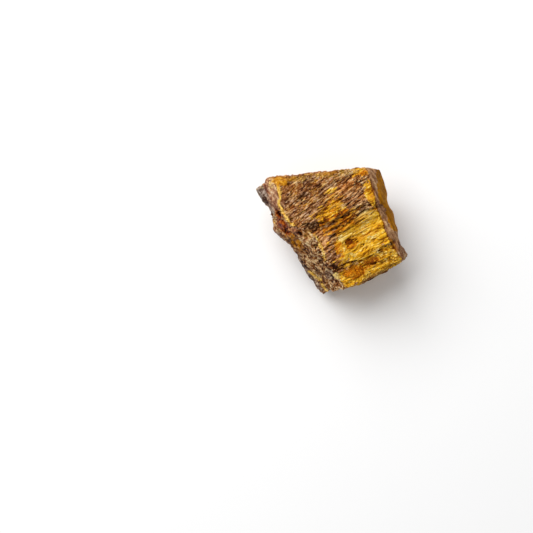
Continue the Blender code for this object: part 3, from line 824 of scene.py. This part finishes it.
def patternNodes(tree):
    # streaks along the fibres, layers across them, lumps, and slivers and grains of one shade each
    plain, along = fibreSpace(tree)
    patterns = {}
    for name, (length, width, detail, rough) in tigerEye["streaks"].items():
        sizes = (1 / length, 1 / width, 1 / width)
        mapped = addNode(tree, "ShaderNodeMapping", {"Vector": along, "Scale": sizes})
        patterns[name] = addNode(tree, "ShaderNodeTexNoise",
                                 {"Vector": mapped, "Scale": 1.0, "Detail": detail, "Roughness": rough})
    for name, (size, detail) in tigerEye["lumps"].items():
        patterns[name] = addNode(tree, "ShaderNodeTexNoise",
                                 {"Vector": plain, "Scale": 1 / size, "Detail": detail, "Roughness": 0.65})
    length, width = tigerEye["sliver"]
    sizes = (1 / length, 1 / width, 1 / width)
    mapped = addNode(tree, "ShaderNodeMapping", {"Vector": along, "Scale": sizes})
    slivers = addNode(tree, "ShaderNodeTexVoronoi", {"Vector": mapped, "Scale": 1.0})
    grit = addNode(tree, "ShaderNodeTexVoronoi", {"Vector": plain, "Scale": 1 / tigerEye["grit"]})
    for name, source in (("sliver", slivers), ("grit", grit), ("lump", patterns["lump"])):
        hues = addNode(tree, "ShaderNodeSeparateColor", {0: source.outputs["Color"]}).outputs
        patterns.setdefault(name, hues[0])
        patterns.update({name + "2": hues[1], name + "3": hues[2]})
    return patterns


def weighted(tree, patterns, start, terms):
    # start plus each pattern's distance from a half, times its weight; what is relieved counts from zero
    total = start
    for name, weight in terms.items():
        value = patterns[name]
        if name != "relieved":
            value = addNode(tree, "ShaderNodeMath", {0: value, 1: 0.5}, operation="SUBTRACT")
        total = addNode(tree, "ShaderNodeMath", {0: value, 1: weight, 2: total}, operation="MULTIPLY_ADD")
    return total


def stoneMaterial():
    material = bpy.data.materials.new("roughTigerEyeQuartz")
    material.use_nodes = True
    tree = material.node_tree
    tree.nodes.clear()
    patterns = patternNodes(tree)
    stored = looks + ("ridge", "crust", "yellow", "rind", "ochre", "straight", "relieved", "shade")
    shares = {name: addNode(tree, "ShaderNodeAttribute", attribute_name=name).outputs["Fac"]
              for name in stored}
    patterns.update(shade=shares["shade"], relieved=shares["relieved"])

    tones = {name: weighted(tree, patterns, start, terms)
             for name, (start, terms) in tigerEye["tones"].items()}
    fibreTone = addNode(tree, "ShaderNodeMix", {0: shares["straight"], 2: tones["short"], 3: tones["long"]})
    # the fibres' tone gets each bit's own shade, and from relieved a painted highlight on proud places and painted
    # shade in hollows
    fibreTone = weighted(tree, patterns, fibreTone, {"shade": 0.36, "relieved": 0.9})
    tones["fibres"] = addNode(tree, "ShaderNodeMix", {0: shares["sugar"], 2: fibreTone, 3: tones["sugar"]})
    patterns["fibres"] = tones["fibres"]

    for name, (pattern, none, full, most) in tigerEye["spread"].items():
        shares[name] = addNode(tree, "ShaderNodeMapRange", {0: patterns[pattern], 1: none, 2: full, 4: most})
    for names, none, full, terms in tigerEye["borders"]:
        for name in names.split():
            ragged = weighted(tree, patterns, shares[name], terms)
            shares[name] = addNode(tree, "ShaderNodeMapRange", {0: ragged, 1: none, 2: full})

    paints = {name: addNode(tree, "ShaderNodeValToRGB", {"Fac": tones[tone]}, stops=zip(places, hexes.split()))
              for name, (tone, places, hexes) in tigerEye["colours"].items()}
    crust = addNode(tree, "ShaderNodeMix", {0: shares["greyCrust"], 6: paints["crust"].outputs[0],
                                            7: paints["slate"].outputs[0]}, data_type="RGBA").outputs[2]
    paints.update(yellow=paints["ridge"], pale=tigerEye["pale"], crust=crust)
    colour = paints["brown"]
    for name in tigerEye["order"].split():
        colour = addNode(tree, "ShaderNodeMix", {0: shares[name], 6: colour, 7: paints[name]},
                         data_type="RGBA").outputs[2]

    # gaps and hollows get painted shade, and the dark patches and lines add painted shadow under steps and in
    # cracks as well as real dark holes and lumps; the painted shade is paler where the quartz is golden and less on
    # the crust
    gap = addNode(tree, "ShaderNodeMix", {0: shares["gold"], 6: tigerEye["gap"], 7: tigerEye["goldGap"]},
                  data_type="RGBA").outputs[2]
    hollow = addNode(tree, "ShaderNodeMapRange", {0: shares["relieved"], 1: -0.03, 2: -0.17, 4: 0.78})
    lessShadeOnCrust = addNode(tree, "ShaderNodeMapRange", {0: shares["crust"], 3: 1.0, 4: 0.45})
    hollow = addNode(tree, "ShaderNodeMath", {0: hollow, 1: lessShadeOnCrust}, operation="MULTIPLY")
    paintedShadeAndDarkSpots = addNode(tree, "ShaderNodeMath", {0: hollow, 1: shares["dark"]}, operation="MAXIMUM")
    colour = addNode(tree, "ShaderNodeMix", {0: paintedShadeAndDarkSpots, 6: colour, 7: gap}, data_type="RGBA").outputs[2]

    # the crust and the rind are dull, honey and rust are a little glassy
    dull = addNode(tree, "ShaderNodeMath", {0: shares["crust"], 1: shares["rind"]}, operation="MAXIMUM")
    height = addNode(tree, "ShaderNodeMix", {0: dull, 2: tones["fibres"], 3: tones["grit"]})
    bump = addNode(tree, "ShaderNodeBump", {"Height": height, "Distance": 0.22 * mm, "Strength": 0.9})
    glassy = addNode(tree, "ShaderNodeMath", {0: shares["rust"], 1: shares["honey"]}, operation="MAXIMUM")
    roughness = addNode(tree, "ShaderNodeMix", {0: dull, 2: 0.45, 3: 0.75})
    roughness = addNode(tree, "ShaderNodeMix", {0: glassy, 2: roughness, 3: 0.38})
    shader = addNode(tree, "ShaderNodeBsdfPrincipled",
                     {"Base Color": colour, "Roughness": roughness, "IOR": 1.54, "Specular IOR Level": 0.06,
                      "Normal": bump})
    addNode(tree, "ShaderNodeOutputMaterial", {"Surface": shader})
    return material


def addPiece(name, mesh):
    piece = newObject(name, mesh)
    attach(piece, "root")
    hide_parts("tiger_eye_stone")
    print(name, len(mesh.polygons), "faces")


def makeStone():
    material = stoneMaterial()
    skin = plainMesh("skin", mergedCopy(stoneNode), "REMESH",
                     {"mode": "VOXEL", "voxel_size": relief["step"] * mm})
    keepLargest(skin)
    roughSkin(skin)
    print("rough skin", len(skin.vertices), "points")

    # the spacing gets wider where the stone looks down, and then in the flattest places all over
    lower = np.flatnonzero(calmNormals(skin, 14)[:, 2] < relief["downward"])
    coarser = plainMesh("coarser", skin, "DECIMATE", {"ratio": relief["firstShare"], "vertex_group": "lower",
                                                      "vertex_group_factor": 0.5}, lower.tolist())
    share = relief["triangles"] / (len(coarser.loops) - 2 * len(coarser.polygons))
    mesh = plainMesh("tigerEyeStone", coarser, "DECIMATE", {"ratio": share})
    holdTo(mesh, surfaceTree(skin), relief["mostOff"])
    nearby = surfaceTree(mesh)
    paintMasks(mesh, nearby)
    mesh.materials.clear()
    mesh.materials.append(material)
    mesh.shade_smooth()

    tree = bitTree("bitsOnSurface")
    loose = {kind: scatterBits(mesh, tree, nearby, kind, seed, material) for seed, kind in enumerate(bits)}
    addPiece("tigerEyeStone", mesh)
    for kind, found in loose.items():
        addPiece(kind, found)


# Matt white paper, lit to pure white away from the shadow
table = {"size": 3.0, "colour": "#F4F4F4"}


def makeTable():
    half = table["size"] / 2
    mesh = bpy.data.meshes.new("table")
    corners = [(-half, -half, 0), (half, -half, 0), (half, half, 0), (-half, half, 0)]
    mesh.from_pydata(corners, [], [(0, 1, 2, 3)])
    material = bpy.data.materials.new("whitePaper")
    material.use_nodes = True
    shader = material.node_tree.nodes["Principled BSDF"]
    shader.inputs["Base Color"].default_value = linearColour(table["colour"])
    shader.inputs["Roughness"].default_value = 0.9
    mesh.materials.append(material)
    newObject("table", mesh)
    print("table")


# Window light from the upper left, with a bright room round it
light = {"watts": 8.6, "size": 0.75, "from": (-0.36, 0.42, 0.6), "room": 0.42}


def makeLight():
    lamp = bpy.data.lights.new("window", "AREA")
    lamp.energy = light["watts"]
    lamp.size = light["size"]
    holder = newObject("window", lamp)
    holder.location = light["from"]
    holder.rotation_euler = (-Vector(light["from"])).to_track_quat("-Z", "Y").to_euler()
    world = bpy.data.worlds.new("room")
    bpy.context.scene.world = world
    world.use_nodes = True
    world.node_tree.nodes["Background"].inputs["Color"].default_value = (1.0, 1.0, 1.0, 1.0)
    world.node_tree.nodes["Background"].inputs["Strength"].default_value = light["room"]
    print("light")


# Straight down from half a metre. The stone lies right of the middle and above it, as photographed.
view = {"height": 0.5, "floorWidth": 0.16485, "left": -0.0196, "front": -0.0105, "filmWidth": 36.0}


def makeCamera():
    camera = bpy.data.cameras.new("camera")
    camera.sensor_width = view["filmWidth"]
    camera.lens = view["filmWidth"] * view["height"] / view["floorWidth"]
    camera.clip_start = 0.01
    holder = newObject("camera", camera)
    holder.location = (view["left"], view["front"], view["height"])
    bpy.context.scene.camera = holder
    print("camera")


bpy.context.scene.view_settings.view_transform = "Standard"
makeStone()
makeTable()
makeLight()
makeCamera()
